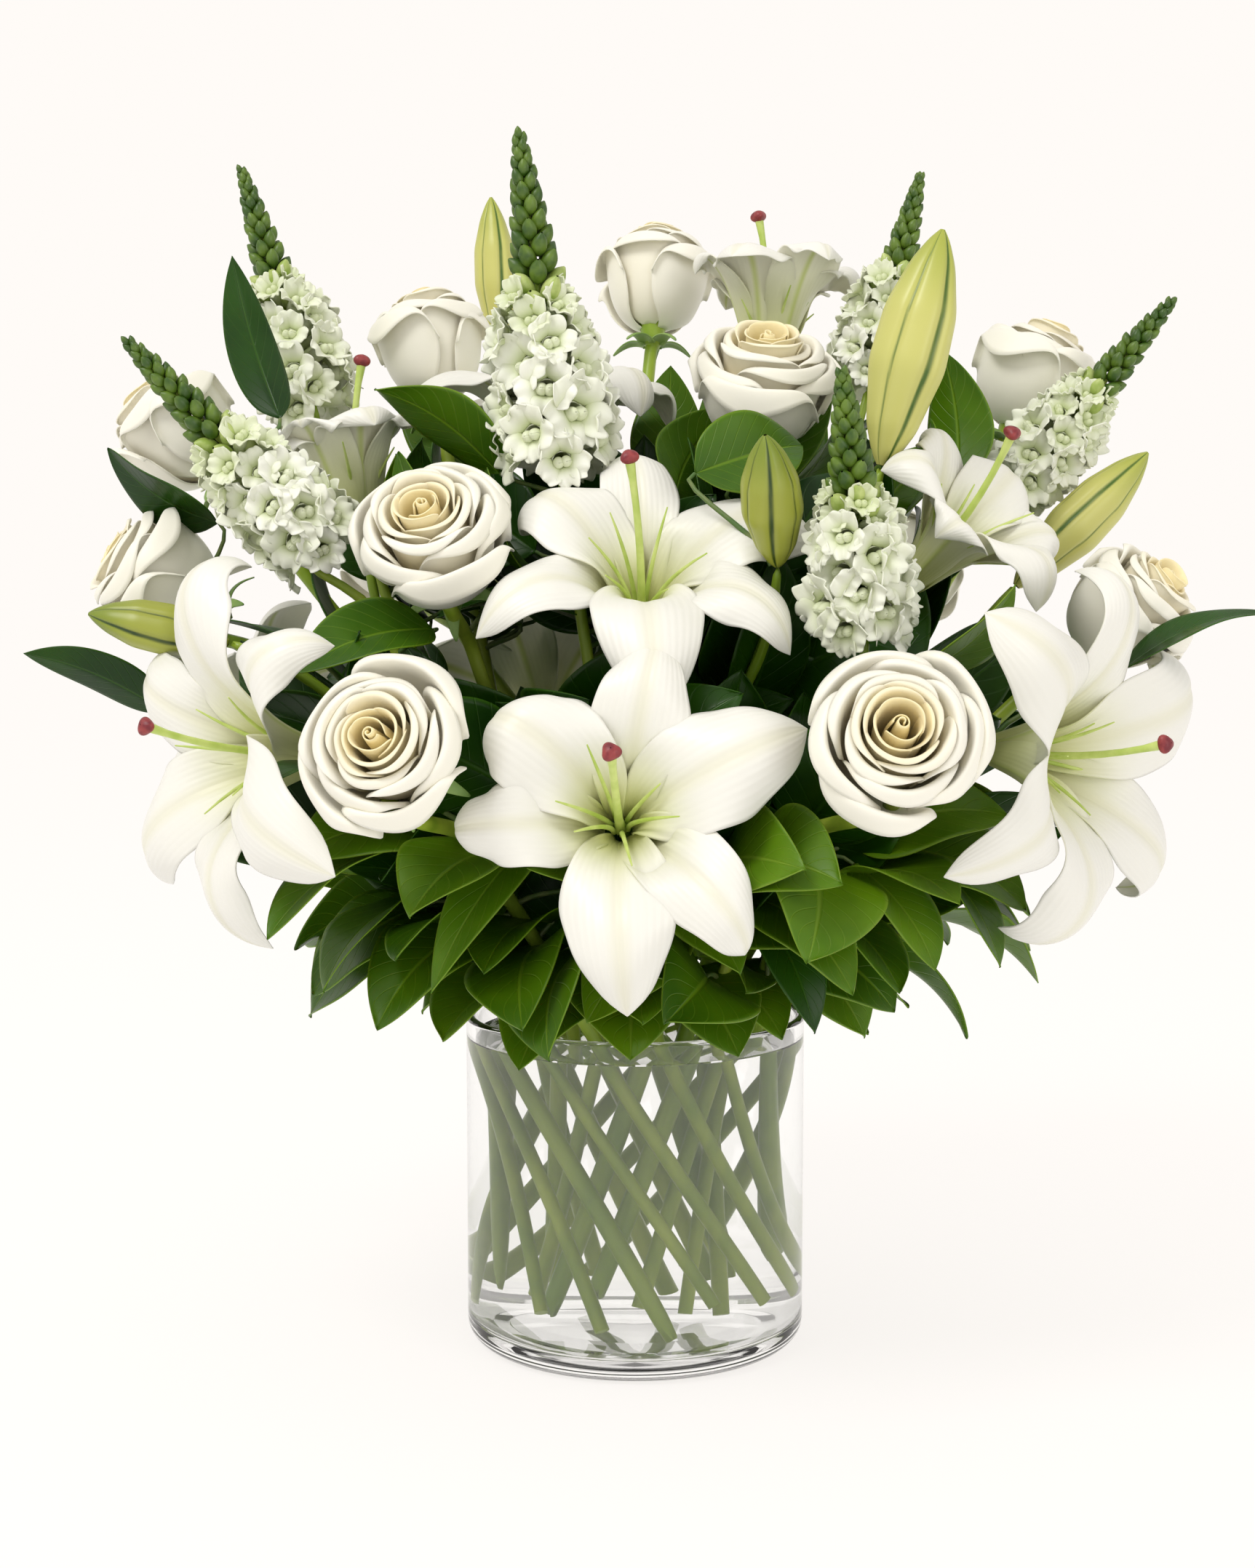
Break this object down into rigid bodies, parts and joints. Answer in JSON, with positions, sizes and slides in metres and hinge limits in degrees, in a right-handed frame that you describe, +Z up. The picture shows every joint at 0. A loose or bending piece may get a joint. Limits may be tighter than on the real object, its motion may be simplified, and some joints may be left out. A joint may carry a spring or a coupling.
{
  "type": "flower arrangement in a vase",
  "caption": "Cut white lilies, roses and snapdragons with lily buds and green leaves, standing in water in a clear glass cylinder vase.",
  "frame": {"origin": "centre of the vase's foot, on the surface it stands on", "axes": "+Z up the vase's axis, -Y towards the front of the arrangement, +X to its right as seen from the front"},
  "size_m": [0.5245, 0.3854, 0.5297],
  "materials": {
    "glass": "clear, polished",
    "water": "clear liquid",
    "lily": "soft waxy white petal with a green throat",
    "rose": "soft ivory petal with a cream centre",
    "snapdragon": "white ruffled florets with green buds above",
    "bud": "waxy yellow-green",
    "leaf": "leathery green with some sheen",
    "stem": "smooth green stalk"
  },
  "bodies": {
    "root": {"bud_front": "bud", "bud_left": "bud", "bud_right": "bud", "bud_right_tall": "bud", "bud_top": "bud", "leaf_back_left": "leaf", "leaf_back_right": "leaf", "leaf_collar_dark": "leaf", "leaf_collar_far_right": "leaf", "leaf_collar_front": "leaf", "leaf_collar_left": "leaf", "leaf_collar_long": "leaf", "leaf_collar_right": "leaf", "leaf_collar_round": "leaf", "leaf_far_left": "leaf", "leaf_far_right": "leaf", "leaf_left": "leaf", "leaf_middle_left": "leaf", "leaf_right": "leaf", "leaf_spear": "leaf", "leaf_upper_left": "leaf", "leaf_upper_middle": "leaf", "leaf_upper_right": "leaf", "lily_back": "lily", "lily_back_left": "lily", "lily_front": "lily", "lily_left": "lily", "lily_middle": "lily", "lily_right": "lily", "lily_stem_back": "stem", "lily_stem_front": "stem", "lily_stem_left": "stem", "lily_stem_right": "stem", "lily_stem_top": "stem", "lily_stem_upper_right": "stem", "lily_top": "lily", "lily_top_right": "lily", "lily_upper_left": "lily", "lily_upper_right": "lily", "rose_back": "rose", "rose_back_left": "rose", "rose_back_right": "rose", "rose_front_left": "rose", "rose_front_right": "rose", "rose_left": "rose", "rose_middle_left": "rose", "rose_right": "rose", "rose_top": "rose", "rose_top_back": "rose", "rose_upper_left": "rose", "rose_upper_middle": "rose", "rose_upper_right": "rose", "snapdragon_front_right": "snapdragon", "snapdragon_left": "snapdragon", "snapdragon_right": "snapdragon", "snapdragon_top": "snapdragon", "snapdragon_upper_left": "snapdragon", "snapdragon_upper_right": "snapdragon", "vase": "glass", "water": "water"}
  },
  "joints": []
}
